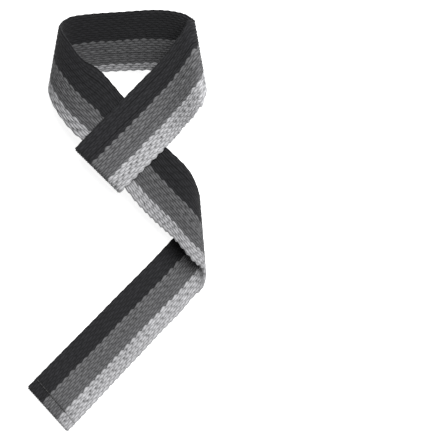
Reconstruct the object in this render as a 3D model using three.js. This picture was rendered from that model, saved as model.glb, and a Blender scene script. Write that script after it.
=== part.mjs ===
// A lasso-type weightlifting strap: one length of heavy cotton webbing, lying where it was put down.
//
// One end is folded back and sewn down to make a slit loop. The other end is hemmed. The webbing
// runs from the slit loop round the wrist loop, comes back, passes through the slit loop and ends
// in a tail that doubles back under itself on the surface that it lies on.
//
// Webbing bends but hardly stretches, so its shape is a row of straight cross lines: the surface
// between two of them is flat across and curved only along the strap. Each row of the tables below
// is one cross line. x points right, y points to the back of the wrist loop, z points up, and the
// tables measure from the crossing, where the strap passes through its own slit loop.

import * as THREE from 'three';

// Driving dimensions, in millimetres and degrees
const webbing_width = 38;
const webbing_thickness = 2.5;
const edge_bevel = 0.6;
const layer_gap = 0.6;

const wrist_loop_width = 92;
const wrist_loop_reach = 65;

const crossing_height = 28.8;
const crossing_slope = 8.5;
const strand_heading = 132.2;
const front_heading = 44.5;

const upper_tail_length = 78.2;
const lower_tail_length = 147.4;
const lower_tail_heading = 226;
const lower_bend_size = 18;

const slit_clearance = 0.5;
const slit_slack = 0.4;
const slit_ramp = 7;
const seam_length = 9;

const hem_length = 12;
const hem_ramp = 24;

// How finely the long curve and the folds are cut
const station_spacing = 3;
const fold_steps = 8;

// Values that follow from them
const half_width = webbing_width / 2;
const half_thickness = webbing_thickness / 2;
const layer_pitch = webbing_thickness + layer_gap;
const slit_depth = 2 * layer_pitch + slit_slack;
const floor_level = half_thickness;
const hem_level = floor_level + layer_pitch;

const heading_vector = (degrees) => {
  const angle = THREE.MathUtils.degToRad(degrees);
  return new THREE.Vector3(Math.cos(angle), Math.sin(angle), 0);
};

// The way across the strap, from its black edge to its light grey edge
const across_vector = (heading, dip) => {
  const fall = THREE.MathUtils.degToRad(dip);
  const level = heading_vector(heading).multiplyScalar(Math.cos(fall));
  return level.setZ(-Math.sin(fall));
};

const strand_way = heading_vector(strand_heading);
const front_way = heading_vector(front_heading);
const lower_tail_way = heading_vector(lower_tail_heading);
const lower_corner = strand_way.clone().multiplyScalar(-upper_tail_length);

// Height and dip of a line that lies in the sloping plane of the crossing, on the given layer
const slope_rise = Math.tan(THREE.MathUtils.degToRad(crossing_slope));
const plane_height = (place, layer) => crossing_height + layer * layer_pitch + slope_rise * place.y;
const plane_dip = (heading) => {
  const rise = slope_rise * Math.sin(THREE.MathUtils.degToRad(heading));
  return THREE.MathUtils.radToDeg(Math.atan(-rise));
};

// Lower tail: share of its length from the lower corner, height, heading across, width share
const lower_tail_rows = [
  { along: 1.00, height: hem_level, heading: -48, width: 1.00 },
  { along: 1 - hem_length / lower_tail_length, height: hem_level, heading: -50, width: 1.00 },
  { along: 1 - (hem_length + hem_ramp) / lower_tail_length, height: floor_level, heading: -56, width: 0.99 },
  { along: 0.67, height: floor_level, heading: -61, width: 0.98 },
  { along: 0.52, height: floor_level, heading: -68, width: 0.97 },
  { along: 0.33, height: floor_level, heading: -78, width: 0.95 },
  { along: 0.24, height: floor_level, heading: -82, width: 0.95 },
];

// Lower bend: x and y as shares of its size from the lower corner, height as a share of the
// crossing's, heading and dip across, width share
const lower_bend_rows = [
  { x: -0.86, y: -0.86, height: floor_level / crossing_height, heading: -85.0, dip: 0.0, width: 0.90 },
  { x: -0.45, y: -0.31, height: 0.125, heading: -85.5, dip: 0.5, width: 0.86 },
  { x: -0.37, y: 0.17, height: 0.38, heading: -85.5, dip: 4.0, width: 0.88 },
  { x: -0.545, y: 0.59, height: 0.65, heading: -87, dip: 6.5, width: 0.92 },
  { x: -0.92, y: 1.05, height: 0.81, heading: -86.5, dip: 8.5, width: 0.95 },
];

// The strand through the slit loop: place along it from the crossing, as a share of the webbing's
// width, heading across, width share
const strand_rows = [
  { along: -0.90, heading: -83, width: 0.96 },
  { along: 0.00, heading: -78, width: 0.97 },
  { along: 0.64, heading: -80, width: 0.95 },
];

// Wrist loop: x as a share of its width, y of its reach, height of the crossing's, heading and dip
// across, width share
const wrist_loop_rows = [
  { x: -0.314, y: 0.465, height: 1.10, heading: -88, dip: 8.5, width: 0.97 },
  { x: -0.410, y: 0.630, height: 1.00, heading: -97, dip: 12.5, width: 0.99 },
  { x: -0.464, y: 0.762, height: 0.82, heading: -102.5, dip: 17.0, width: 1.00 },
  { x: -0.473, y: 0.863, height: 0.60, heading: -104.5, dip: 22.5, width: 1.00 },
  { x: -0.424, y: 0.938, height: 0.402, heading: -102, dip: 27.5, width: 1.00 },
  { x: -0.310, y: 0.975, height: 0.372, heading: -96, dip: 29.5, width: 1.00 },
  { x: -0.146, y: 0.988, height: 0.463, heading: -93, dip: 30.0, width: 1.00 },
  { x: 0.045, y: 0.990, height: 0.615, heading: -91, dip: 30.0, width: 1.00 },
  { x: 0.222, y: 0.977, height: 0.83, heading: -89, dip: 26.0, width: 1.00 },
  { x: 0.380, y: 0.913, height: 1.14, heading: -84.5, dip: 15.0, width: 0.98 },
  { x: 0.472, y: 0.825, height: 1.44, heading: -81, dip: 7.0, width: 0.96 },
  { x: 0.493, y: 0.773, height: 1.61, heading: -80, dip: 5.0, width: 0.94 },
  { x: 0.477, y: 0.718, height: 1.70, heading: -79.5, dip: 4.5, width: 0.90 },
  { x: 0.423, y: 0.608, height: 1.63, heading: -77, dip: 5.0, width: 0.96 },
  { x: 0.350, y: 0.487, height: 1.45, heading: -72, dip: 7.0, width: 0.98 },
];

// The front strand over the slit loop: place along it from the crossing, as a share of the
// webbing's width, rise over the sloping plane as a share of the crossing's height, heading
// across, width share. It ends where the slit loop folds under.
const front_end = -(half_width + slit_clearance) / webbing_width;
const front_rows = [
  { along: 0.88, rise: 0.05, heading: -61, width: 1.00 },
  { along: 0.50, rise: 0, heading: -49, width: 1.02 },
  { along: 0.00, rise: 0, heading: -45, width: 1.02 },
  { along: front_end, rise: 0, heading: -45, width: 1.01 },
];

// One cross line: its middle point, the way across and the half width there
function cross_line(middle, heading, dip, width) {
  return { middle, across: across_vector(heading, dip), half: half_width * width };
}

function all_cross_lines() {
  const lines = [];
  for (const row of lower_tail_rows) {
    const place = lower_corner.clone().addScaledVector(lower_tail_way, row.along * lower_tail_length);
    lines.push(cross_line(place.setZ(row.height), row.heading, 0, row.width));
  }
  for (const row of lower_bend_rows) {
    const step = new THREE.Vector3(row.x, row.y, 0).multiplyScalar(lower_bend_size);
    const place = step.add(lower_corner).setZ(row.height * crossing_height);
    lines.push(cross_line(place, row.heading, row.dip, row.width));
  }
  for (const row of strand_rows) {
    const place = strand_way.clone().multiplyScalar(row.along * webbing_width);
    place.setZ(plane_height(place, 0));
    lines.push(cross_line(place, row.heading, plane_dip(row.heading), row.width));
  }
  for (const row of wrist_loop_rows) {
    const place = new THREE.Vector3(
      row.x * wrist_loop_width,
      row.y * wrist_loop_reach,
      row.height * crossing_height,
    );
    lines.push(cross_line(place, row.heading, row.dip, row.width));
  }
  for (const row of front_rows) {
    const place = front_way.clone().multiplyScalar(row.along * webbing_width);
    place.setZ(plane_height(place, 1) + row.rise * crossing_height);
    lines.push(cross_line(place, row.heading, plane_dip(row.heading), row.width));
  }
  return lines;
}

// A natural cubic spline through values at rising knots. Returns value and slope at a place.
function natural_spline(knots, values) {
  const count = knots.length;
  const bend = new Array(count).fill(0);
  const carry = new Array(count).fill(0);
  for (let i = 1; i < count - 1; i += 1) {
    const before = knots[i] - knots[i - 1];
    const after = knots[i + 1] - knots[i];
    const jump = (values[i + 1] - values[i]) / after - (values[i] - values[i - 1]) / before;
    const weight = 2 * (before + after) - before * carry[i - 1];
    carry[i] = after / weight;
    bend[i] = (6 * jump - before * bend[i - 1]) / weight;
  }
  for (let i = count - 2; i > 0; i -= 1) {
    bend[i] -= carry[i] * bend[i + 1];
  }
  return (place) => {
    let i = 0;
    while (i < count - 2 && place > knots[i + 1]) i += 1;
    const gap = knots[i + 1] - knots[i];
    const b = (place - knots[i]) / gap;
    const a = 1 - b;
    const curve = (a ** 3 - a) * bend[i] + (b ** 3 - b) * bend[i + 1];
    const turn = (3 * b ** 2 - 1) * bend[i + 1] - (3 * a ** 2 - 1) * bend[i];
    return {
      value: a * values[i] + b * values[i + 1] + (curve * gap ** 2) / 6,
      slope: (values[i + 1] - values[i]) / gap + (turn * gap) / 6,
    };
  };
}

// Smooth curves through all cross lines, cut into stations. A station has its middle point, the
// half cross line from the middle to the light grey edge, and the outward side of the webbing.
function long_curve_stations() {
  const lines = all_cross_lines();
  const knots = [0];
  for (let i = 1; i < lines.length; i += 1) {
    knots.push(knots[i - 1] + lines[i].middle.distanceTo(lines[i - 1].middle));
  }
  const curve_of = (pick) => natural_spline(knots, lines.map(pick));
  const middle_curves = ['x', 'y', 'z'].map((axis) => curve_of((line) => line.middle[axis]));
  const across_curves = ['x', 'y', 'z'].map((axis) => curve_of((line) => line.across[axis]));
  const half_curve = curve_of((line) => line.half);

  // Between the first and the last line on the floor the webbing lies dead flat
  const on_floor = knots.filter((knot, i) => Math.abs(lines[i].middle.z - floor_level) < 0.001);
  const lying_from = on_floor[0];
  const lying_to = on_floor[on_floor.length - 1];

  const length = knots[knots.length - 1];
  const steps = Math.round(length / station_spacing);
  const stations = [];
  for (let i = 0; i <= steps; i += 1) {
    const place = (i / steps) * length;
    const at = (curves) => curves.map((curve) => curve(place));
    const middles = at(middle_curves);
    const middle = new THREE.Vector3(...middles.map((item) => item.value));
    const way = new THREE.Vector3(...middles.map((item) => item.slope));
    const across = new THREE.Vector3(...at(across_curves).map((item) => item.value));
    if (place >= lying_from && place <= lying_to) {
      middle.z = floor_level;
      way.z = 0;
      across.z = 0;
    }
    across.normalize();
    const squareness = across.clone().cross(way.normalize()).length();
    const half = half_curve(place).value / squareness;
    stations.push({ middle, reach: across.multiplyScalar(half) });
  }
  return stations;
}

// Adds to each station the side of the webbing that faces out, at its black and its light edge
function add_sides(stations) {
  const side_at = (before, after, sign, reach) => {
    const start = before.middle.clone().addScaledVector(before.reach, sign);
    const end = after.middle.clone().addScaledVector(after.reach, sign);
    return end.sub(start).cross(reach).normalize();
  };
  stations.forEach((station, i) => {
    const before = stations[Math.max(i - 1, 0)];
    const after = stations[Math.min(i + 1, stations.length - 1)];
    station.black_side = side_at(before, after, -1, station.reach);
    station.light_side = side_at(before, after, 1, station.reach);
  });
  return stations;
}

// A half turn under the end of a stretch, round an axis along its last cross line
function fold_under(end, onward, radius) {
  const side = end.reach.clone().cross(onward).normalize();
  const up = side.z > 0 ? side : side.negate();
  const out = up.clone().cross(end.reach).normalize();
  if (out.dot(onward) < 0) out.negate();
  const folds = [];
  for (let i = 1; i <= fold_steps; i += 1) {
    const angle = (Math.PI * i) / fold_steps;
    const middle = end.middle.clone()
      .addScaledVector(up, radius * (Math.cos(angle) - 1))
      .addScaledVector(out, radius * Math.sin(angle));
    folds.push({ middle, reach: end.reach.clone() });
  }
  return folds;
}

// The layer that lies under a stretch: the same stations, each lowered square to the webbing
function layer_under(stretch, depth_at, length) {
  const layer = [];
  let travelled = 0;
  for (let i = 1; i < stretch.length && travelled < length; i += 1) {
    travelled += stretch[i].middle.distanceTo(stretch[i - 1].middle);
    const side = stretch[i].black_side.clone().add(stretch[i].light_side).normalize();
    if (side.z < 0) side.negate();
    const middle = stretch[i].middle.clone().addScaledVector(side, -depth_at(travelled));
    layer.push({ middle, reach: stretch[i].reach.clone() });
  }
  return layer;
}

// The whole strap from the hem's hidden cut end to the slit loop's hidden sewn end
function whole_strap() {
  const main = add_sides(long_curve_stations());
  const back = [...main].reverse();

  const hem_fold = fold_under(main[0], lower_tail_way, layer_pitch / 2);
  const hem_layer = layer_under(main, () => layer_pitch, hem_length - station_spacing / 2);

  const slit_run = 2 * (half_width + slit_clearance);
  const slit_depth_at = (travelled) => {
    const share = THREE.MathUtils.smoothstep(travelled, slit_run, slit_run + slit_ramp);
    return THREE.MathUtils.lerp(slit_depth, layer_pitch, share);
  };
  const slit_fold = fold_under(back[0], front_way.clone().negate(), slit_depth / 2);
  const slit_layer = layer_under(back, slit_depth_at, slit_run + slit_ramp + seam_length);

  return add_sides([
    ...[...hem_fold, ...hem_layer].reverse(),
    ...main,
    ...slit_fold,
    ...slit_layer,
  ]);
}

// The section of the webbing at a station: a flat bar with bevelled edges, counter-clockwise
function section_points(station) {
  const inset = 1 - edge_bevel / half_width;
  const flank = half_thickness - edge_bevel;
  const corners = [
    [-1, -flank],
    [-inset, -half_thickness],
    [inset, -half_thickness],
    [1, -flank],
    [1, flank],
    [inset, half_thickness],
    [-inset, half_thickness],
    [-1, flank],
  ];
  return corners.map(([share, lift]) => {
    const side = share < 0 ? station.black_side : station.light_side;
    return station.middle.clone().addScaledVector(station.reach, share).addScaledVector(side, lift);
  });
}

// One closed skin over all sections, with a flat cap at each cut end
function webbing_geometry() {
  const rings = whole_strap().map(section_points);
  const corner_count = rings[0].length;
  const faces = [];
  for (let ring = 0; ring < rings.length - 1; ring += 1) {
    for (let corner = 0; corner < corner_count; corner += 1) {
      const next = (corner + 1) % corner_count;
      const here = ring * corner_count;
      const ahead = here + corner_count;
      faces.push(here + corner, here + next, ahead + next);
      faces.push(here + corner, ahead + next, ahead + corner);
    }
  }
  const last = (rings.length - 1) * corner_count;
  for (let corner = 1; corner < corner_count - 1; corner += 1) {
    faces.push(0, corner + 1, corner);
    faces.push(last, last + corner, last + corner + 1);
  }
  const geometry = new THREE.BufferGeometry().setFromPoints(rings.flat());
  geometry.setIndex(faces);
  return geometry;
}

// Sets the strap down with the middle of its outline over the origin and its lowest point on z = 0
function webbing() {
  const geometry = webbing_geometry();
  geometry.computeBoundingBox();
  const box = geometry.boundingBox;
  const centre = box.getCenter(new THREE.Vector3());
  geometry.translate(-centre.x, -centre.y, -box.min.z);
  geometry.computeVertexNormals();
  const cotton = new THREE.MeshStandardMaterial({ color: 0x3a3a3d, roughness: 0.95, metalness: 0 });
  const mesh = new THREE.Mesh(geometry, cotton);
  mesh.name = 'webbing';
  return mesh;
}

const strap = new THREE.Group();
strap.add(webbing());

export default strap;
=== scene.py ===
# %% [markdown]
# # A lasso-type weightlifting strap
# The real strap is one length of heavy cotton webbing. One end is folded back and sewn down to make
# a slit loop, the other end is hemmed, and the strap runs through its own slit loop to make the
# loop for the wrist. It lies on a pale surface and the camera looks straight down on it.
# This lesson rebuilds the webbing from its yarns: the strap's path first, then the cords across it,
# then their colours, the stitches, and the studio round it.

# %% Load the frame
import bpy
import numpy as np
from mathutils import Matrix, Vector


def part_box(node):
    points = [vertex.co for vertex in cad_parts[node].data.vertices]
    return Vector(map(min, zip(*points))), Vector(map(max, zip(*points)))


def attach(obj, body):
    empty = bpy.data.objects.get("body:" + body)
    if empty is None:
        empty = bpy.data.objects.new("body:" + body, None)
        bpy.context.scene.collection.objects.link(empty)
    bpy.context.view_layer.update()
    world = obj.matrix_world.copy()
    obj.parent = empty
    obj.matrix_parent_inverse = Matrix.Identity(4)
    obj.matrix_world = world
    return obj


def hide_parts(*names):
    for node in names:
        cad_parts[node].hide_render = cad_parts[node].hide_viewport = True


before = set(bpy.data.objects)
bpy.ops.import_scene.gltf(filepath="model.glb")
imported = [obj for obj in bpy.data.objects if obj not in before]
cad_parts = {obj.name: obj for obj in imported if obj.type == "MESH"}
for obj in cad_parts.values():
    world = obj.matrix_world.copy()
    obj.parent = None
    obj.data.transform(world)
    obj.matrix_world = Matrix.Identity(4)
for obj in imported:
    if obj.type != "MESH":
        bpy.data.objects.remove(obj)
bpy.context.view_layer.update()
millimetre = 0.001

# %% [markdown]
# ## The size of the strap
# The same named sizes as in the part's source, in millimetres and degrees. Everything else in this
# lesson follows from them, so a change of width or thickness is made here once.

# %% Named sizes
webbing_width = 38
webbing_thickness = 2.5
layer_gap = 0.6
wrist_loop_width = 92
wrist_loop_reach = 65
crossing_height = 28.8
crossing_slope = 8.5
strand_heading = 132.2
front_heading = 44.5
upper_tail_length = 78.2
lower_tail_length = 147.4
lower_tail_heading = 226
lower_bend_size = 18
slit_clearance = 0.5
slit_slack = 0.4
slit_ramp = 7
seam_length = 9
hem_length = 12
hem_ramp = 24
# the hem's hidden layer ends this far before the tail starts to come down
hem_end_gap = 1.5

half_width = webbing_width / 2
half_thickness = webbing_thickness / 2
layer_pitch = webbing_thickness + layer_gap
slit_depth = 2 * layer_pitch + slit_slack
floor_level = half_thickness
hem_level = floor_level + layer_pitch
print("layers of webbing lie", layer_pitch, "mm apart")

# %% [markdown]
# ## Cross lines
# Webbing bends but hardly stretches, so a bent strap is a row of straight lines across it, each a
# little turned from the last. Each row of these tables is one such line. They are the lines of the
# part's source, so the woven strap lies exactly where the solid lies.

# %% Tables of cross lines
# share of the lower tail's length from the lower corner, height, heading across, width share
hem_start = 1 - hem_length / lower_tail_length
hem_end = 1 - (hem_length + hem_ramp) / lower_tail_length
lower_tail_rows = np.array([
    (1.00, hem_level, -48, 1.00),
    (hem_start, hem_level, -50, 1.00),
    (hem_end, floor_level, -56, 0.99),
    (0.67, floor_level, -61, 0.98),
    (0.52, floor_level, -68, 0.97),
    (0.33, floor_level, -78, 0.95),
    (0.24, floor_level, -82, 0.95),
])
# x, y as shares of the bend's size from the lower corner, height share, heading, dip, width share
lower_bend_rows = np.array([
    (-0.86, -0.86, floor_level / crossing_height, -85.0, 0.0, 0.90),
    (-0.45, -0.31, 0.125, -85.5, 0.5, 0.86),
    (-0.37, 0.17, 0.38, -85.5, 4.0, 0.88),
    (-0.545, 0.59, 0.65, -87, 6.5, 0.92),
    (-0.92, 1.05, 0.81, -86.5, 8.5, 0.95),
])
# place along the strand as a share of the webbing's width, heading, width share
strand_rows = np.array([
    (-0.90, -83, 0.96),
    (0.00, -78, 0.97),
    (0.64, -80, 0.95),
])
# x as a share of the wrist loop's width, y of its reach, height share, heading, dip, width share
wrist_loop_rows = np.array([
    (-0.314, 0.465, 1.10, -88, 8.5, 0.97),
    (-0.410, 0.630, 1.00, -97, 12.5, 0.99),
    (-0.464, 0.762, 0.82, -102.5, 17.0, 1.00),
    (-0.473, 0.863, 0.60, -104.5, 22.5, 1.00),
    (-0.424, 0.938, 0.402, -102, 27.5, 1.00),
    (-0.310, 0.975, 0.372, -96, 29.5, 1.00),
    (-0.146, 0.988, 0.463, -93, 30.0, 1.00),
    (0.045, 0.990, 0.615, -91, 30.0, 1.00),
    (0.222, 0.977, 0.83, -89, 26.0, 1.00),
    (0.380, 0.913, 1.14, -84.5, 15.0, 0.98),
    (0.472, 0.825, 1.44, -81, 7.0, 0.96),
    (0.493, 0.773, 1.61, -80, 5.0, 0.94),
    (0.477, 0.718, 1.70, -79.5, 4.5, 0.90),
    (0.423, 0.608, 1.63, -77, 5.0, 0.96),
    (0.350, 0.487, 1.45, -72, 7.0, 0.98),
])
# place along the front strand as a share of the webbing's width, rise, heading, width share
front_end = -(half_width + slit_clearance) / webbing_width
front_rows = np.array([
    (0.88, 0.05, -61, 1.00),
    (0.50, 0.00, -49, 1.02),
    (0.00, 0.00, -45, 1.02),
    (front_end, 0.00, -45, 1.01),
])


# %% Directions and the sloping plane of the crossing
def heading_vector(degrees):
    """Level direction or directions: cosine and sine of the heading, with no rise."""
    angle = np.radians(degrees)
    return np.stack([np.cos(angle), np.sin(angle), np.zeros_like(angle)], axis=-1)


def across_vector(heading, dip):
    """Way across the strap: the heading shortened by the dip's cosine, falling by its sine."""
    fall = np.radians(dip)
    way = heading_vector(heading) * np.cos(fall)[:, None]
    way[:, 2] = -np.sin(fall)
    return way


slope_rise = np.tan(np.radians(crossing_slope))


def plane_height(places, layer):
    """Height of the crossing's plane: crossing height, plus layers, plus slope times y."""
    return crossing_height + layer * layer_pitch + slope_rise * places[:, 1]


def plane_dip(heading):
    """Dip of a line of that heading in the crossing's plane."""
    return np.degrees(np.arctan(-slope_rise * np.sin(np.radians(heading))))


# %% All cross lines in order, from the hem to the slit loop
strand_way = heading_vector(float(strand_heading))
front_way = heading_vector(float(front_heading))
lower_tail_way = heading_vector(float(lower_tail_heading))
lower_corner = -upper_tail_length * strand_way

along, height, heading, share = lower_tail_rows.T
tail_middles = lower_corner + (along * lower_tail_length)[:, None] * lower_tail_way
tail_middles[:, 2] = height
tail_lines = (tail_middles, across_vector(heading, 0 * heading), share)

x, y, height, heading, dip, share = lower_bend_rows.T
bend_middles = lower_corner + lower_bend_size * np.stack([x, y, 0 * x], axis=-1)
bend_middles[:, 2] = height * crossing_height
bend_lines = (bend_middles, across_vector(heading, dip), share)

along, heading, share = strand_rows.T
strand_middles = (along * webbing_width)[:, None] * strand_way
strand_middles[:, 2] = plane_height(strand_middles, 0)
strand_lines = (strand_middles, across_vector(heading, plane_dip(heading)), share)

x, y, height, heading, dip, share = wrist_loop_rows.T
loop_middles = np.stack([x * wrist_loop_width, y * wrist_loop_reach, 0 * x], axis=-1)
loop_middles[:, 2] = height * crossing_height
loop_lines = (loop_middles, across_vector(heading, dip), share)

along, rise, heading, share = front_rows.T
front_middles = (along * webbing_width)[:, None] * front_way
front_middles[:, 2] = plane_height(front_middles, 1) + rise * crossing_height
front_lines = (front_middles, across_vector(heading, plane_dip(heading)), share)

stretches = [tail_lines, bend_lines, strand_lines, loop_lines, front_lines]
line_middles = np.concatenate([stretch[0] for stretch in stretches])
line_ways = np.concatenate([stretch[1] for stretch in stretches])
line_halves = half_width * np.concatenate([stretch[2] for stretch in stretches])
print(len(line_middles), "cross lines")

# %% [markdown]
# ## One smooth path
# A natural cubic spline through the cross lines keeps slope and bend smooth, as cloth does. A
# spline that only keeps its slope would leave a kink at each line, because the lines lean far over
# at the bends.

# %% Natural spline
row_step = 0.57
least_fold_steps = 8


def natural_spline(knots, values, places):
    """Cubic pieces through every value, smooth in slope and bend and with no bend at the ends."""
    gap = np.diff(knots)
    rate = np.diff(values, axis=0) / gap[:, None]
    inner = np.arange(1, len(knots) - 1)
    system = np.eye(len(knots))
    system[inner, inner - 1] = gap[:-1]
    system[inner, inner] = 2 * (gap[:-1] + gap[1:])
    system[inner, inner + 1] = gap[1:]
    change = np.zeros_like(values)
    change[inner] = 6 * np.diff(rate, axis=0)
    bend = np.linalg.solve(system, change)
    i = np.clip(np.searchsorted(knots, places, side="right") - 1, 0, len(gap) - 1)
    span = gap[i][:, None]
    b = (places - knots[i])[:, None] / span
    a = 1 - b
    curve = (a**3 - a) * bend[i] + (b**3 - b) * bend[i + 1]
    turn = (3 * b**2 - 1) * bend[i + 1] - (3 * a**2 - 1) * bend[i]
    value = a * values[i] + b * values[i + 1] + curve * span**2 / 6
    return value, rate[i] + turn * span / 6


def lengths_along(points):
    """Distance travelled along a row of points, starting at nought."""
    steps = np.linalg.norm(np.diff(points, axis=0), axis=1)
    return np.concatenate([[0.0], np.cumsum(steps)])


def unit(vectors):
    """Each vector divided by its own length."""
    return vectors / np.linalg.norm(vectors, axis=-1, keepdims=True)


# %% Stations along the long curve
knots = lengths_along(line_middles)
places = np.linspace(0, knots[-1], int(round(knots[-1] / row_step)) + 1)
main_middle, main_way = natural_spline(knots, line_middles, places)
main_across, _ = natural_spline(knots, line_ways, places)
main_half, _ = natural_spline(knots, line_halves[:, None], places)

# between the first and the last line that lies on the floor, the strap is kept level
lying = knots[np.abs(line_middles[:, 2] - floor_level) < 0.001]
flat = (places >= lying[0]) & (places <= lying[-1])
main_middle[flat, 2] = floor_level
main_way[flat, 2] = 0
main_across[flat, 2] = 0

main_across = unit(main_across)
squareness = np.linalg.norm(np.cross(main_across, unit(main_way)), axis=1, keepdims=True)
main_reach = main_across * main_half / squareness
print(len(places), "stations on the long curve, flat on the floor for", int(flat.sum()), "of them")


# %% [markdown]
# ## Folded ends
# The hem and the slit loop are the same webbing turned under itself. Each fold is a half turn round
# a line across the strap, and the hidden layer repeats the stations above it, a layer lower.

# %% Outward sides
def outward_sides(middle, reach):
    """Outward normals at the black and the light edge: each edge's own direction crossed with the
    way across."""
    ahead = np.minimum(np.arange(len(middle)) + 1, len(middle) - 1)
    behind = np.maximum(np.arange(len(middle)) - 1, 0)
    sides = []
    for sign in (-1, 1):
        edge = middle + sign * reach
        sides.append(unit(np.cross(edge[ahead] - edge[behind], reach)))
    return sides


# %% Folds and hidden layers
def fold_under(middle, reach, onward, radius):
    """Half circle from a cross line to the layer under it, in the plane square to that line."""
    up = unit(np.cross(reach, onward))
    up = up * np.sign(up[2])
    out = unit(np.cross(up, reach))
    out = out * np.sign(out @ onward)
    count = max(least_fold_steps, int(round(np.pi * radius / row_step)))
    angle = (np.pi * np.arange(1, count + 1) / count)[:, None]
    middles = middle + radius * ((np.cos(angle) - 1) * up + np.sin(angle) * out)
    return middles, np.tile(reach, (count, 1))


def layer_under(middle, reach, depth_at, length):
    """The stations of a stretch, each lowered square to the webbing by the depth at its place."""
    travelled = lengths_along(middle)
    count = int(np.searchsorted(travelled, length)) + 1
    black_side, light_side = outward_sides(middle, reach)
    side = unit(black_side + light_side)
    side = side * np.sign(side[:, 2:])
    layer = middle - side * depth_at(travelled)[:, None]
    return layer[1:count], reach[1:count]


def smoothstep(value, start, end):
    """Nought before start, one after end, and an S curve of three and two powers between."""
    t = np.clip((value - start) / (end - start), 0, 1)
    return t * t * (3 - 2 * t)


slit_run = 2 * (half_width + slit_clearance)


def slit_depth_at(travelled):
    """Depth of the hidden layer: the slit's depth, closing to one layer where it is sewn down."""
    closing = smoothstep(travelled, slit_run, slit_run + slit_ramp)
    return slit_depth + (layer_pitch - slit_depth) * closing


# %% The whole strap, from the hem's hidden end to the slit loop's hidden end
hem_fold = fold_under(main_middle[0], main_reach[0], lower_tail_way, layer_pitch / 2)
hem_layer = layer_under(
    main_middle, main_reach, lambda s: layer_pitch + 0 * s, hem_length - hem_end_gap
)
slit_fold = fold_under(main_middle[-1], main_reach[-1], -front_way, slit_depth / 2)
slit_layer = layer_under(
    main_middle[::-1], main_reach[::-1], slit_depth_at, slit_run + slit_ramp + seam_length
)
strap_middle = np.concatenate(
    [hem_layer[0][::-1], hem_fold[0][::-1], main_middle, slit_fold[0], slit_layer[0]]
)
strap_reach = np.concatenate(
    [hem_layer[1][::-1], hem_fold[1][::-1], main_reach, slit_fold[1], slit_layer[1]]
)
main_first = len(hem_layer[0]) + len(hem_fold[0])
arc = lengths_along(strap_middle)
black_side, light_side = outward_sides(strap_middle, strap_reach)
print("the strap is", round(float(arc[-1]), 1), "mm long with its folds")

# %% Move the strap to the frame's place
bar_points = np.concatenate([
    strap_middle + edge * strap_reach + lift * half_thickness * side
    for edge, side in ((-1, black_side), (1, light_side))
    for lift in (-1, 1)
])
cad_low, cad_high = (np.array(corner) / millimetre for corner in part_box("webbing"))
crossing = (cad_low + cad_high) / 2 - (bar_points.min(axis=0) + bar_points.max(axis=0)) / 2
crossing[2] = 0
strap_middle = strap_middle + crossing
print("the crossing is at", crossing.round(2), "mm, bar box", np.ptp(bar_points, axis=0).round(1))

# %% [markdown]
# ## The camera
# The picture was taken from straight above. The webbing's width and the way the high parts of the
# loop grow in the picture gave the camera's height and lens.

# %% Camera
camera_height = 600
camera_from_crossing = np.array([58.2, -46.55])
sensor_width = 36.0
picture_px = 442
lying_width_px = 59.9
focal_px = lying_width_px / webbing_width * (camera_height - floor_level)

camera_data = bpy.data.cameras.new("camera")
camera_data.sensor_width = sensor_width
camera_data.lens = focal_px * sensor_width / picture_px
camera_data.clip_start = 0.01
camera = bpy.data.objects.new("camera", camera_data)
camera_place = np.append(crossing[:2] + camera_from_crossing, camera_height)
camera.location = camera_place * millimetre
bpy.context.scene.collection.objects.link(camera)
bpy.context.scene.camera = camera
print("lens", round(camera_data.lens, 1), "mm, camera at", camera_place.round(1), "mm")

# %% [markdown]
# ## Cords across the webbing
# The face of heavy webbing is a row of lengthwise cords. Each cord floats over a few wefts, swells
# in the middle of its float, and dives where the next weft crosses it. Neighbours are half a float
# apart, so the swellings nest like scales. A bump map could hint at this, but the outline of the
# stripes and the slits between cords need real shape, so the grid's columns follow the cords
# themselves. The darkness in the slits is painted shade in the colours.

# %% Cord sizes
cord_count = 26
float_length = 5.7
cord_relief = 0.42
edge_margin = 0.9
columns_in_cord = 4
edge_points = 4
# the tables of chance have more rows than the strap has floats
most_floats = 200
rng = np.random.default_rng(7)

cord_numbers = np.arange(cord_count)
shift_variation = 0.07
float_shift = {
    face: 0.5 * (cord_numbers % 2) + shift_variation * rng.standard_normal(cord_count)
    for face in ("outer", "inner")
}
wobble_lengths = (4.1, 9.7, 23.0)
wobble_reach = 0.05
wobble_phase = rng.uniform(0, 2 * np.pi, (len(wobble_lengths), cord_count + 1))
drift_phase = rng.uniform(0, 2 * np.pi, cord_count)
float_drift = 0.10
drift_length = 21.0
swell_power = 0.6
print(cord_count, "cords of", round((webbing_width - 2 * edge_margin) / cord_count, 2), "mm")


# %% Floats
def float_place(shift):
    """Place in floats along each cord: length over float length, plus the cord's own shift and a
    slow sine, as no weft lies quite straight."""
    drift = float_drift * np.sin(arc[:, None] / drift_length + drift_phase[None, :])
    return arc[:, None] / float_length + shift[None, :] + drift


def swell_of(place):
    """How full a cord is: the absolute sine of its place, to a power, nought at a dive."""
    return np.abs(np.sin(np.pi * place)) ** swell_power


# %% [markdown]
# ## Three stripes
# Black, dark grey and light grey cotton are warped side by side. On the real strap the stripes
# change their widths a little from one stretch to the next, so the number of cords in each is a
# step function along the strap. A cord changes colour only at a dive, as a real yarn would go under
# and another come up.

# %% Cords in each stripe
black_stripe, bright_stripe, deep_stripe, light_stripe = range(4)
# from this length along the strap on: black cords, dark grey cords; the rest are light grey
stripe_tables = {
    "outer": np.array([(0, 11, 10), (250, 12, 9), (345, 9, 10)]),
    "inner": np.array([(0, 9, 10), (175, 12, 11)]),
}


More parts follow.
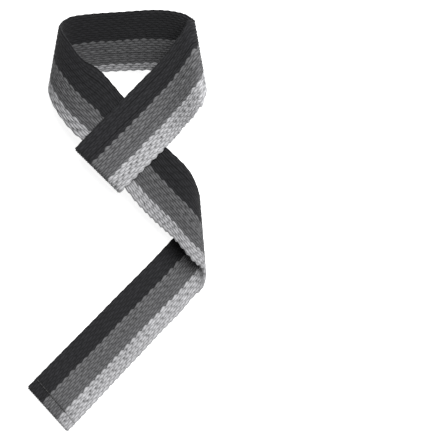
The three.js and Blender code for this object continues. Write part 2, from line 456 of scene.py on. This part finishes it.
def stripe_of(face, place, shift):
    """Stripe of each cord at each place, and the cord's number within its stripe. The dark grey
    cords next to the black ones are the bright half, those next to the light ones the deep half."""
    float_middle = (np.floor(place) + 0.5 - shift[None, :]) * float_length
    table = stripe_tables[face]
    row = np.clip(np.searchsorted(table[:, 0], float_middle, side="right") - 1, 0, len(table) - 1)
    black, dark = table[row, 1], table[row, 2]
    starts = np.stack([0 * black, black, black + (dark + 1) // 2, black + dark])
    stripe = (cord_numbers >= starts[1:]).sum(axis=0)
    in_stripe = cord_numbers - np.take_along_axis(starts, stripe[None], axis=0)[0]
    return stripe, in_stripe


# %% Grooves and lobes
# cords with a groove on their black side: stripe and number within it, and the groove's painted
# shade; the groove is painted, not sunk in the shape
grooves = {
    "outer": [
        (black_stripe, 3, 0.08),
        (black_stripe, 7, 0.08),
        (bright_stripe, 3, 0.22),
        (deep_stripe, 1, 0.22),
    ],
    "inner": [(bright_stripe, 3, 0.25), (deep_stripe, 0, 0.10)],
}
# the grooves' painted shade is weaker on the tail, up to these lengths, and wanders in strength
groove_tail_end = (130, 170)
groove_tail_loss = 0.45
groove_wander = 0.15
groove_wave = 11

# lobes in cord widths: their start beyond the border, their reach and how uneven it is
lobe_start = 0.35
lobe_reach = 0.68
lobe_variation = 0.22
lobe_lean = 1.2
lobe_share = 1 + lobe_variation * rng.standard_normal((most_floats, cord_count))


def lobe_of(place):
    """Outline of a lobe: the sine of half a turn over a power of the place within the float, so
    that it rises more slowly than it falls."""
    within = place - np.floor(place)
    return np.sin(np.pi * within**lobe_lean)


def groove_of(face, stripe, in_stripe):
    """Painted shade of the groove on each cord's black side, or one where it has none. Its strength
    is less on the tail, and comes and goes with a slow sine along the strap."""
    groove = np.ones(stripe.shape)
    for number, cord, shade in grooves[face]:
        groove = np.where((stripe == number) & (in_stripe == cord), shade, groove)
    on_tail = 1 - smoothstep(arc, *groove_tail_end)
    wave = np.sin(arc[:, None] / groove_wave + cord_numbers)
    strength = (1 - groove_tail_loss * on_tail)[:, None] * (1 - groove_wander * (1 - wave))
    return 1 - (1 - groove) * strength


# %% Where the cords meet
plain_sway = 0.14
comma_sway = 0.12
sway_at_groove = 0.3


def cord_borders(place, swell, stripe, groove):
    """Borders between cords, in cord widths from the black edge. A plain border sways towards
    whichever neighbour is thin and leans over with each float, so floats are bent like commas.
    Where a lighter cord meets a darker one, it laps over the darker one in lobes."""
    plain = plain_sway * (swell[:, :-1] - swell[:, 1:])
    plain = plain + comma_sway * np.sin(2 * np.pi * place[:, 1:])
    plain = np.where(groove[:, 1:] < 1, sway_at_groove * plain, plain)
    float_number = np.floor(place[:, 1:]).astype(int) + 1
    reach = lobe_reach * lobe_share[float_number, cord_numbers[1:]]
    lobed = lobe_start - reach * lobe_of(place[:, 1:])
    into_light = (stripe[:, 1:] == light_stripe) & (stripe[:, :-1] < light_stripe)
    out_of_black = (stripe[:, 1:] > black_stripe) & (stripe[:, :-1] == black_stripe)
    sway = np.where(into_light | out_of_black, lobed, plain)
    borders = np.zeros((len(swell), cord_count + 1))
    borders[:, 1:-1] = cord_numbers[1:] + sway
    borders[:, -1] = cord_count
    slow = sum(
        wobble_reach * np.sin(arc[:, None] / period + phase[None, :])
        for period, phase in zip(wobble_lengths, wobble_phase)
    )
    borders[:, 1:-1] += slow[:, 1:-1]
    return borders


# %% Sewn rows
# the hem's stitches, counted from the fold, and the row that holds the slit loop's end
stitches_from_fold = 6.9
hem_seam = arc[main_first] + stitches_from_fold - layer_pitch / 2
slit_seam = arc[-1] - seam_length / 2
seam_reach = 0.55
seam_depth = 0.30
sewn = sum(np.exp(-(((arc - seam) / seam_reach) ** 2)) for seam in (hem_seam, slit_seam))
print("stitches at", round(float(hem_seam), 1), "and", round(float(slit_seam), 1), "mm")

# %% Painted shade of gaps and holes between cords
# painted shade by stripe: how light the gap beside a cord is, and how much of that a dive takes
# away
gap_shade = np.array([0.45, 0.40, 0.46, 0.53])
dive_depth = np.array([0.25, 0.55, 0.55, 0.55])
# how open the holes beside each light cord are, from the dark grey stripe outwards; an open hole is
# painted dark with shade
hole_openings = np.array([0.0, 0.30, 0.12, 0.72, 0.22, 0.0])
# how uneven the holes are from dive to dive, by stripe
hole_spread = np.array([0.0, 0.30, 0.0, 0.45])
# the painted shade at the bottom of an open hole
hole_shade = 0.08
hole_chance = np.random.default_rng(11).standard_normal((most_floats, cord_count))


def holes_of(place, stripe, in_stripe):
    """How open the hole beside each cord's dive is, from nought to one. In the light stripe it
    follows the cord's number, and there and among the brighter dark cords it is uneven."""
    by_cord = hole_openings[np.minimum(in_stripe, len(hole_openings) - 1)]
    opening = np.where(stripe == light_stripe, by_cord, 0)
    uneven = (opening > 0) | (stripe == bright_stripe)
    dive_number = np.round(place).astype(int) + 1
    spread = hole_spread[stripe] * hole_chance[dive_number, cord_numbers]
    return np.clip(opening + spread * uneven, 0, 1)


def gap_of(swell, stripe, groove, holes):
    """Painted shade of the gap on each cord's black side. It is darker in the grooves, darker still
    where this cord or the one beside it dives, and darkest in the holes."""
    gap = np.minimum(gap_shade[stripe], groove)
    beside = np.concatenate([swell[:, :1], swell[:, :-1]], axis=1)
    dive = 1 - np.minimum(swell, beside)
    plain = gap * (1 - dive_depth[stripe] * dive)
    hole = hole_shade + (gap - hole_shade) * swell
    return plain + holes * (np.minimum(hole, plain) - plain)


# %% One face of the webbing
face_level = half_thickness - cord_relief
# height of a cord's columns, from the gap on its black side on, and how much of it a dive leaves
crown = np.array([0.0, 0.78, 1.0, 0.78])
crown_place = np.arange(columns_in_cord) / columns_in_cord
dive_height = 0.45
# painted shade of the three columns on the cord, darker on its sides, and by stripe how light a
# cord is where it dives
crown_shade = np.array([0.88, 1.0, 0.94])
dive_shade = np.array([0.55, 0.45, 0.58, 0.52])
# painted shade that grooves and holes take from those three columns; the middle one has no groove
# beside it
groove_side_loss = 0.25
hole_side_loss = 0.85
hole_top_loss = 0.60
# the first light cord's darker tone, the painted shade in the gap after the last cord, and the
# painted shade in the sunk row of stitches
first_light_shade = 0.94
last_gap_shade = 0.6
sewn_loss = 0.35


def top_shade_of(swell, stripe, in_stripe, groove, holes):
    """Painted shade of the three columns on each cord: lighter where the cord swells, darker where
    it dives and on the sides that face a groove or a hole."""
    least = dive_shade[stripe]
    top = (least + (1 - least) * swell)[:, :, None] * crown_shade
    dark_dive = holes * (1 - swell)
    next_groove, next_dive = np.roll(groove, -1, axis=1), np.roll(dark_dive, -1, axis=1)
    top[:, :, 0] *= (1 - groove_side_loss * (1 - groove)) * (1 - hole_side_loss * dark_dive)
    top[:, :, 1] *= 1 - hole_top_loss * dark_dive
    top[:, :, 2] *= (1 - groove_side_loss * (1 - next_groove)) * (1 - hole_side_loss * next_dive)
    top[(stripe == light_stripe) & (in_stripe == 0)] *= first_light_shade
    return top


def cord_face(face):
    """A face's columns: place across as a share, height above the middle, and painted shade. Each
    cord is a rounded ridge whose height and painted shade follow its swelling."""
    place = float_place(float_shift[face])
    swell = swell_of(place)
    stripe, in_stripe = stripe_of(face, place, float_shift[face])
    groove = groove_of(face, stripe, in_stripe)
    borders = cord_borders(place, swell, stripe, groove)
    left, right = borders[:, :-1, None], borders[:, 1:, None]
    across = (left + (right - left) * crown_place).reshape(len(arc), -1)
    across = np.concatenate([across, borders[:, -1:]], axis=1)
    ridge = crown * (dive_height + (1 - dive_height) * swell[:, :, None])
    ridge = np.concatenate([ridge.reshape(len(arc), -1), 0 * arc[:, None]], axis=1)
    holes = holes_of(place, stripe, in_stripe)
    gap = gap_of(swell, stripe, groove, holes)[:, :, None]
    top = top_shade_of(swell, stripe, in_stripe, groove, holes)
    shade = np.concatenate([gap, top], axis=2).reshape(len(arc), -1)
    shade = np.concatenate([shade, last_gap_shade + 0 * arc[:, None]], axis=1)
    shade = shade * (1 - sewn_loss * sewn[:, None])
    share = (across / cord_count * 2 - 1) * (1 - edge_margin / half_width)
    return {
        "share": share,
        "lift": face_level + cord_relief * ridge - seam_depth * sewn[:, None],
        "shade": shade,
        "stripe": stripe,
        "place": place,
    }


outer = cord_face("outer")
inner = cord_face("inner")
print("face columns", outer["share"].shape)


# %% [markdown]
# ## Woven edges
# At each edge a cord wraps round from one face to the other, and the weft's turns make it swell a
# little once a float.

# %% Edge cords
# painted shade on the edge cord where it dives
edge_dive_shade = 0.55


def edge_cord(sign, shift, least, most):
    """Columns round an edge: a half ellipse from the outer to the inner face, bulging with the
    swelling of its own float between the least and the most share of the edge's margin."""
    place = arc[:, None] / float_length + shift
    swell = np.sin(np.pi * place) ** 2
    angle = np.pi * (0.5 - np.arange(1, edge_points + 1) / (edge_points + 1))
    bulge = edge_margin * (least + (most - least) * swell) * np.cos(angle)[None, :]
    share = sign * (1 - edge_margin / half_width + bulge / half_width)
    lift = face_level * np.sin(angle)[None, :] + 0 * swell
    shade = edge_dive_shade + (1 - edge_dive_shade) * swell + 0 * bulge
    return {"share": share, "lift": lift, "shade": shade, "place": place}


light_edge = edge_cord(1, shift=0.25, least=0.40, most=1.15)
black_edge = edge_cord(-1, shift=0.75, least=0.78, most=1.05)

# %% The closed ring of columns round the webbing
flip = {key: value[:, ::-1] for key, value in black_edge.items()}
ring_share = np.concatenate(
    [outer["share"], light_edge["share"], inner["share"][:, ::-1], flip["share"]], axis=1
)
ring_lift = np.concatenate(
    [outer["lift"], light_edge["lift"], -inner["lift"][:, ::-1], -flip["lift"]], axis=1
)
ring_shade = np.concatenate(
    [outer["shade"], light_edge["shade"], inner["shade"][:, ::-1], flip["shade"]], axis=1
)
column_count = ring_share.shape[1]
print("columns in a ring", column_count)

# %% Ring in space
toward_light = ((ring_share + 1) / 2)[:, :, None]
ring_side = unit(black_side[:, None] * (1 - toward_light) + light_side[:, None] * toward_light)
ring_points = (
    strap_middle[:, None]
    + ring_share[:, :, None] * strap_reach[:, None]
    + ring_lift[:, :, None] * ring_side
)
print("lowest point", round(float(ring_points[:, :, 2].min()), 3), "mm")

# %% [markdown]
# ## Yarn colours
# Each span between two columns belongs to one cord, so its colour is kept at the corners of its
# faces and changes sharply from cord to cord. Every float is a touch lighter or darker than the
# next, as dyed cotton is. Shade is painted into the tones as well: the cloth is darker inside the
# wrist loop, on its left side, and on the strand that runs through the slit, where it lies in
# shade.

# %% Tones
black_cotton = (0.0205, 0.0205, 0.0225)
bright_dark_cotton = (0.127, 0.127, 0.131)
deep_dark_cotton = (0.112, 0.112, 0.116)
light_cotton = (0.410, 0.410, 0.422)
tones = np.array([black_cotton, bright_dark_cotton, deep_dark_cotton, light_cotton])
float_variation = 0.05
# painted shade: shares of the tone where the cloth lies in shade, from and to these lengths in mm
painted_shade_lengths = {"outer": (0.81, 150, 300), "inner": (0.67, 255, 400)}
painted_shade_fade = 20.0


def painted_shade_share(name):
    """Share of the tone along a face: one, and lower, as painted shade, between the two ends of its
    shaded length.
    """
    share, start, end = painted_shade_lengths[name]
    begun = smoothstep(arc, start - painted_shade_fade, start)
    ended = smoothstep(arc, end, end + painted_shade_fade)
    return (1 - (1 - share) * (begun - ended))[:, None, None]


def face_tone(face):
    """Tone of each span of a face: its stripe's colour times the float's own variation."""
    float_number = np.floor(face["place"]).astype(int)
    variation = rng.normal(1.0, float_variation, (float_number.max() + 2, cord_count))
    tone = tones[face["stripe"]] * variation[float_number, cord_numbers][:, :, None]
    return np.repeat(tone, columns_in_cord, axis=1)


outer_tone = face_tone(outer) * painted_shade_share("outer")
inner_tone = face_tone(inner) * painted_shade_share("inner")
light_edge_tone = np.repeat(outer_tone[:, -1:], edge_points + 1, axis=1)
black_edge_tone = np.repeat(outer_tone[:, :1], edge_points + 1, axis=1)
ring_tone = np.concatenate(
    [outer_tone, light_edge_tone, inner_tone[:, ::-1], black_edge_tone], axis=1
)
print("tones", ring_tone.shape)

# %% Tones of the cut ends
# a cut end shows its cords' own colours, darker: the outer face's spans, then each edge's, twice
cut_shade = 0.55
face_spans = cord_count * columns_in_cord
black_edge_span = 2 * face_spans + edge_points + 1
cut_spans = np.append(np.arange(face_spans), [face_spans] * 2 + [black_edge_span] * 2)

# %% Yarn coordinates
# the inner face and the black edge count on from these numbers, so that no two cords twist alike
inner_from = 40
black_edge_from = 80
face_across = cord_numbers[:, None] + np.arange(columns_in_cord + 1) / columns_in_cord
face_start, face_end = face_across[:, :-1].ravel(), face_across[:, 1:].ravel()
edge_across = np.arange(edge_points + 2) / (edge_points + 1)
span_start = np.concatenate([
    face_start,
    cord_count + edge_across[:-1],
    inner_from + face_end[::-1],
    black_edge_from + edge_across[:-1],
])
span_end = np.concatenate([
    face_end,
    cord_count + edge_across[1:],
    inner_from + face_start[::-1],
    black_edge_from + edge_across[1:],
])
span_place = np.concatenate(
    [
        np.repeat(outer["place"], columns_in_cord, axis=1),
        np.repeat(light_edge["place"], edge_points + 1, axis=1),
        np.repeat(inner["place"], columns_in_cord, axis=1)[:, ::-1],
        np.repeat(black_edge["place"], edge_points + 1, axis=1),
    ],
    axis=1,
)


# %% [markdown]
# ## From arrays to a mesh
# A stretch of the strap is a tube of quads between rings, closed at both ends with quads that join
# the outer face to the inner one. The strap is cut into stretches because one piece may hold only
# so many faces. The cuts lie where another layer hides them, or neighbouring ends meet exactly.

# %% Mesh of a stretch
def tube_quads(rows):
    """Corners of every quad between neighbouring rings, column next to column."""
    here = np.arange(rows - 1)[:, None] * column_count
    ahead = here + column_count
    column = np.arange(column_count)[None, :]
    following = (column + 1) % column_count
    corners = (here + column, here + following, ahead + following, ahead + column)
    return np.stack(corners, axis=-1).reshape(-1, 4)


def cap_quads(first, turned):
    """Quads across a ring: outer column to the inner column behind it, and two between the four
    points of each edge."""
    face_columns = cord_count * columns_in_cord + 1
    top = np.arange(face_columns)
    bottom = 2 * face_columns + edge_points - 1 - top
    across = np.stack([top[:-1], bottom[:-1], bottom[1:], top[1:]], axis=-1)
    light = face_columns + np.arange(edge_points)
    black = 2 * face_columns + edge_points + np.arange(edge_points)
    rims = np.array([
        (top[-1], bottom[-1], light[3], light[0]),
        (light[0], light[3], light[2], light[1]),
        (bottom[0], top[0], black[3], black[0]),
        (black[0], black[3], black[2], black[1]),
    ])
    quads = np.concatenate([across, rims]) + first
    return quads[:, ::-1] if turned else quads


def signed_volume(points, quads):
    """Sum over faces of the corner's triple product with its neighbours, over six."""
    a, b, c, d = (points[quads[:, i]] for i in range(4))
    return float((np.cross(b, c) * a).sum() + (np.cross(c, d) * a).sum()) / 6


# %% Mesh, colour and yarn coordinates of a piece
def mesh_of(name, points, quads, smooth_count):
    """A mesh from whole arrays of points and quads, with the first quads smooth."""
    mesh = bpy.data.meshes.new(name)
    mesh.vertices.add(len(points))
    mesh.vertices.foreach_set("co", points.ravel())
    mesh.loops.add(quads.size)
    mesh.loops.foreach_set("vertex_index", quads.ravel().astype(np.int32))
    mesh.polygons.add(len(quads))
    mesh.polygons.foreach_set("loop_start", np.arange(0, quads.size, 4, dtype=np.int32))
    mesh.polygons.foreach_set("use_smooth", np.arange(len(quads)) < smooth_count)
    mesh.update(calc_edges=True)
    return mesh


def keep_at_corners(mesh, colour, yarn):
    """Keeps a colour and a yarn coordinate at each corner of each face."""
    layer = mesh.color_attributes.new("cotton", "FLOAT_COLOR", "CORNER")
    layer.data.foreach_set("color", colour.ravel())
    mesh.uv_layers.new(name="yarn").data.foreach_set("uv", yarn.ravel())


def sharpen_ends(mesh, count):
    """Marks the edges of the first and the last of a stretch's rings as sharp."""
    edge_ends = np.zeros(len(mesh.edges) * 2, np.int32)
    mesh.edges.foreach_get("vertices", edge_ends)
    ring_of = edge_ends.reshape(-1, 2) // column_count
    sharp = (ring_of == 0).all(axis=1) | (ring_of == count - 1).all(axis=1)
    mesh.attributes.new("sharp_edge", "BOOLEAN", "EDGE").data.foreach_set("value", sharp)


def stretch_colour(rows, quads, body_count):
    """Corner colours of a stretch: each span's tone times the painted shade of each corner's
    column, and the cords' own tones on the cut ends."""
    tone = ring_tone[rows]
    shade = ring_shade[rows].ravel()[quads[:body_count]][:, :, None]
    colour = np.ones((len(quads), 4, 4))
    colour[:body_count, :, :3] = tone[:-1].reshape(-1, 1, 3) * shade
    colour[body_count:, :, :3] = cut_shade * tone[[0, -1]][:, cut_spans].reshape(-1, 1, 3)
    return colour


def stretch_yarn(rows, quads, body_count, order):
    """Yarn coordinates of a stretch: cord number and fraction across, place in floats along."""
    place = span_place[rows]
    here, ahead = place[:-1], place[1:]
    starts = np.broadcast_to(span_start, here.shape)
    ends = np.broadcast_to(span_end, here.shape)
    yarn = np.zeros((len(quads), 4, 2))
    across = np.stack([starts, ends, ends, starts], axis=-1)
    along_cord = np.stack([here, here, ahead, ahead], axis=-1)
    yarn[:body_count, :, 0] = across.reshape(-1, 4)[:, order]
    yarn[:body_count, :, 1] = along_cord.reshape(-1, 4)[:, order]
    return yarn


# %% Build one stretch
def weave_stretch(name, start, end):
    """A closed mesh of the rings from start to end millimetres along the strap."""
    rows = slice(int(np.searchsorted(arc, start)), int(np.searchsorted(arc, end)) + 1)
    points = ring_points[rows].reshape(-1, 3) * millimetre
    count = len(arc[rows])
    quads = np.concatenate([
        tube_quads(count), cap_quads(0, False), cap_quads((count - 1) * column_count, True)
    ])
    body_count = (count - 1) * column_count
    order = [0, 1, 2, 3]
    if signed_volume(points, quads) < 0:
        order = order[::-1]
        quads = quads[:, order]

    mesh = mesh_of(name, points, quads, body_count)
    keep_at_corners(
        mesh,
        stretch_colour(rows, quads, body_count),
        stretch_yarn(rows, quads, body_count, order),
    )
    sharpen_ends(mesh, count)
    mesh.validate()

    piece = bpy.data.objects.new(name, mesh)
    bpy.context.scene.collection.objects.link(piece)
    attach(piece, "root")
    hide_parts("webbing")
    length = float(arc[rows][-1] - arc[rows][0])
    print(name, len(quads) * 2, "triangles,", round(length, 1), "mm long")
    return piece, length


# %% Weave the strap
strap_end = float(arc[-1])
cuts = {
    "tail": (0, 145),
    "strand": (145, 245),
    "wrist_loop": (245, 405),
    "front_strand": (405, strap_end),
}
woven = {name: weave_stretch(name, *cut) for name, cut in cuts.items()}

# %% [markdown]
# ## Sewing
# Two rows of stitches hold the folded ends: one across the hem, one across the hidden end of the
# slit loop. Every stitch is a short spindle of thread that rises from the cloth and dives again.

# %% Stitches
stitch_length = 2.7
thread_radius = 0.27
thread_rise = 0.32
stitch_steps, stitch_sides = 7, 6
# share of a stitch's length at which its thread dives out of sight
stitch_dive = 0.05
# the thread looks light on the light stripe, from this share of the width on
thread_tone = 0.055
light_thread_tone = 0.24
light_from = 0.72


def spindle_quads(count):
    """Quads of closed spindles: their sides ring by ring, and two quads over each end ring."""
    first = (np.arange(count) * stitch_steps * stitch_sides)[:, None, None]
    ring = (np.arange(stitch_steps - 1) * stitch_sides)[:, None]
    side = np.arange(stitch_sides)[None, :]
    after = (side + 1) % stitch_sides
    corners = (ring + side, ring + after, ring + after + stitch_sides, ring + side + stitch_sides)
    sides = (first[..., None] + np.stack(corners, axis=-1)).reshape(count, -1, 4)
    last = (stitch_steps - 1) * stitch_sides
    ends = np.array([(3, 2, 1, 0), (5, 4, 3, 0), (0, 1, 2, 3), (0, 3, 4, 5)])
    ends = ends + np.array([0, 0, last, last])[:, None]
    return np.concatenate([sides, first + ends], axis=1)


def stitch_row(name, place, facing):
    """Stitches across the strap at a place, on its upper side where facing is 1 and its lower side
    where it is -1. Each one's middle line lifts by a sine from the cloth, and its thickness follows
    the root of that sine."""
    row = int(np.searchsorted(arc, place))
    count = int((webbing_width - 2 * edge_margin) / stitch_length)
    step = np.linspace(stitch_dive, 1 - stitch_dive, stitch_steps)
    share = -1 + 2 * (np.arange(count)[:, None] + step) / count
    share = share * (1 - edge_margin / half_width)
    bow = np.sin(np.pi * step)
    side = unit(black_side[row] + light_side[row])
    side = facing * np.sign(side[2]) * side
    reach = strap_reach[row]
    way = np.cross(side, unit(reach))
    lift = half_thickness - seam_depth + thread_rise * bow
    middle = strap_middle[row] + share[..., None] * reach + lift[:, None] * side
    turn = 2 * np.pi * np.arange(stitch_sides) / stitch_sides
    spoke = np.cos(turn)[:, None] * side + np.sin(turn)[:, None] * way
    radius = thread_radius * np.sqrt(bow)
    points = middle[:, :, None] + radius[:, None, None] * spoke
    points = points.reshape(-1, 3) * millimetre
    quads = spindle_quads(count)
    if signed_volume(points, quads.reshape(-1, 4)) < 0:
        quads = quads[..., ::-1]

    on_light = np.arange(count) / count > light_from
    colour = np.ones((count, quads.shape[1] * 4, 4))
    colour[..., :3] = np.where(on_light, light_thread_tone, thread_tone)[:, None, None]
    yarn = np.stack([quads % stitch_sides, quads // stitch_sides], axis=-1) / stitch_sides
    quads = quads.reshape(-1, 4)
    mesh = mesh_of(name, points, quads, len(quads))
    keep_at_corners(mesh, colour, yarn)

    piece = bpy.data.objects.new(name, mesh)
    bpy.context.scene.collection.objects.link(piece)
    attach(piece, "root")
    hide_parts("webbing")
    print(name, count, "stitches,", len(mesh.polygons) * 2, "triangles")
    return piece


stitches = [
    stitch_row("hem_stitches", hem_seam, facing=1),
    stitch_row("slit_stitches", slit_seam, facing=-1),
]

# %% [markdown]
# ## Cotton
# Each cord is two plies twisted together. A node group works out the twist from the yarn
# coordinates, with a little fluff from noise, and hands back a shade and a height. The shade is
# painted shade, darker where the twist is low, with the fluff's uneven tone in it. The colour
# itself, with its painted shade of gaps, dives and holes, comes from the corners of the mesh.

# %% Ply twist group
# how far fluff pushes the plies about, and the shares of plies and fluff in height and painted
# shade
fluff_push = 1.6
ply_height = 0.6
fluff_height = 0.8
shade_range = 0.50
least_shade = 0.65


def socket(group, name, way, kind, value=None):
    """Adds a named socket to a group's interface."""
    made = group.interface.new_socket(name=name, in_out=way, socket_type=kind)
    if value is not None:
        made.default_value = value
    return made


ply_twist = bpy.data.node_groups.new("ply twist", "ShaderNodeTree")
socket(ply_twist, "Yarn", "INPUT", "NodeSocketVector")
socket(ply_twist, "Turns", "INPUT", "NodeSocketFloat", 5.0)
socket(ply_twist, "Slant", "INPUT", "NodeSocketFloat", 1.37)
socket(ply_twist, "Fluff scale", "INPUT", "NodeSocketFloat", 500.0)
socket(ply_twist, "Shade", "OUTPUT", "NodeSocketFloat")
socket(ply_twist, "Height", "OUTPUT", "NodeSocketFloat")


def math_node(operation, first, second=None):
    """A Math node in the group, fed by a socket or a number on each side; returns its output."""
    node = ply_twist.nodes.new("ShaderNodeMath")
    node.operation = operation
    for slot_number, source in enumerate((first, second)):
        if isinstance(source, (int, float)):
            node.inputs[slot_number].default_value = source
        elif source is not None:
            ply_twist.links.new(source, node.inputs[slot_number])
    return node.outputs[0]


# %% Ply twist nodes
entry = ply_twist.nodes.new("NodeGroupInput")
leave = ply_twist.nodes.new("NodeGroupOutput")
parts = ply_twist.nodes.new("ShaderNodeSeparateXYZ")
ply_twist.links.new(entry.outputs["Yarn"], parts.inputs[0])
object_place = ply_twist.nodes.new("ShaderNodeTexCoord")
noise = ply_twist.nodes.new("ShaderNodeTexNoise")
noise.inputs["Detail"].default_value = 3.0
ply_twist.links.new(object_place.outputs["Object"], noise.inputs["Vector"])
ply_twist.links.new(entry.outputs["Fluff scale"], noise.inputs["Scale"])
fluff = noise.outputs[0]

turned = math_node("MULTIPLY", parts.outputs["Y"], entry.outputs["Turns"])
slanted = math_node("MULTIPLY", parts.outputs["X"], entry.outputs["Slant"])
pushed = math_node("MULTIPLY", fluff, fluff_push)
phase = math_node("ADD", math_node("ADD", turned, slanted), pushed)
wave = math_node("SINE", math_node("MULTIPLY", phase, 2 * np.pi))
plies = math_node("MULTIPLY", math_node("ADD", wave, 1.0), 0.5)
plies_part = math_node("MULTIPLY", plies, ply_height)
fluff_part = math_node("MULTIPLY", fluff, fluff_height)
twist_height = math_node("ADD", plies_part, fluff_part)
twist_shade = math_node("ADD", math_node("MULTIPLY", twist_height, shade_range), least_shade)
ply_twist.links.new(twist_height, leave.inputs["Height"])
ply_twist.links.new(twist_shade, leave.inputs["Shade"])


# %% Cotton materials
def cotton_material(name, turns, depth):
    """Rough dyed cotton: the corners' colour times the twist's painted shade, and its height as
    bump.
    """
    material = bpy.data.materials.new(name)
    material.use_nodes = True
    tree = material.node_tree
    shader = tree.nodes["Principled BSDF"]
    shader.inputs["Roughness"].default_value = 0.92
    shader.inputs["Specular IOR Level"].default_value = 0.12
    shader.inputs["Sheen Weight"].default_value = 0.04
    shader.inputs["Sheen Roughness"].default_value = 0.6
    twist = tree.nodes.new("ShaderNodeGroup")
    twist.node_tree = ply_twist
    twist.inputs["Turns"].default_value = turns
    yarn_map = tree.nodes.new("ShaderNodeUVMap")
    yarn_map.uv_map = "yarn"
    tree.links.new(yarn_map.outputs[0], twist.inputs["Yarn"])
    mix = tree.nodes.new("ShaderNodeMix")
    mix.data_type = "RGBA"
    mix.blend_type = "MULTIPLY"
    mix.inputs["Factor"].default_value = 1.0
    cotton = tree.nodes.new("ShaderNodeVertexColor")
    cotton.layer_name = "cotton"
    tree.links.new(cotton.outputs["Color"], mix.inputs["A"])
    tree.links.new(twist.outputs["Shade"], mix.inputs["B"])
    tree.links.new(mix.outputs["Result"], shader.inputs["Base Color"])
    bump = tree.nodes.new("ShaderNodeBump")
    bump.inputs["Strength"].default_value = 0.5
    bump.inputs["Distance"].default_value = depth
    tree.links.new(twist.outputs["Height"], bump.inputs["Height"])
    tree.links.new(bump.outputs["Normal"], shader.inputs["Normal"])
    return material


warp_cotton = cotton_material("warp cotton", turns=2.0, depth=0.0002)
for piece, _ in woven.values():
    piece.data.materials.append(warp_cotton)
sewing_thread = cotton_material("sewing thread", turns=6.0, depth=0.00005)
for piece in stitches:
    piece.data.materials.append(sewing_thread)

# %% [markdown]
# ## The studio
# In the real picture the ground is pure white, with no shadow on it. A pale floor with light of its
# own does that. A wide lamp behind and to the right, and a pale sky, light the strap, and its own
# layers make the dark places between them.

# %% Floor
floor_mesh = bpy.data.meshes.new("floor")
floor_half = 3.0
corners = [(x * floor_half, y * floor_half, 0) for x, y in ((-1, -1), (1, -1), (1, 1), (-1, 1))]
floor_mesh.from_pydata(corners, [], [(0, 1, 2, 3)])
floor = bpy.data.objects.new("floor", floor_mesh)
bpy.context.scene.collection.objects.link(floor)
floor_paint = bpy.data.materials.new("pale floor")
floor_paint.use_nodes = True
floor_shader = floor_paint.node_tree.nodes["Principled BSDF"]
floor_shader.inputs["Base Color"].default_value = (0.5, 0.5, 0.5, 1)
floor_shader.inputs["Roughness"].default_value = 0.9
floor_shader.inputs["Emission Color"].default_value = (1, 1, 1, 1)
floor_shader.inputs["Emission Strength"].default_value = 0.85
floor_mesh.materials.append(floor_paint)

# %% Lamp and sky
# the lamp and sky cast the real shade; the tones also carry painted shade inside the wrist loop and
# along the strand
lamp_data = bpy.data.lights.new("overhead", "AREA")
lamp_data.shape = "DISK"
lamp_data.size = 0.9
lamp_data.energy = 27
lamp = bpy.data.objects.new("overhead", lamp_data)
lamp.location = (0.43, 0.38, 1.05)
lamp.rotation_euler = (-0.323, 0.389, 0)
bpy.context.scene.collection.objects.link(lamp)

sky = bpy.data.worlds.new("sky")
bpy.context.scene.world = sky
sky.use_nodes = True
sky.node_tree.nodes["Background"].inputs["Color"].default_value = (1, 1, 1, 1)
sky.node_tree.nodes["Background"].inputs["Strength"].default_value = 0.2
bpy.context.scene.view_settings.view_transform = "Standard"
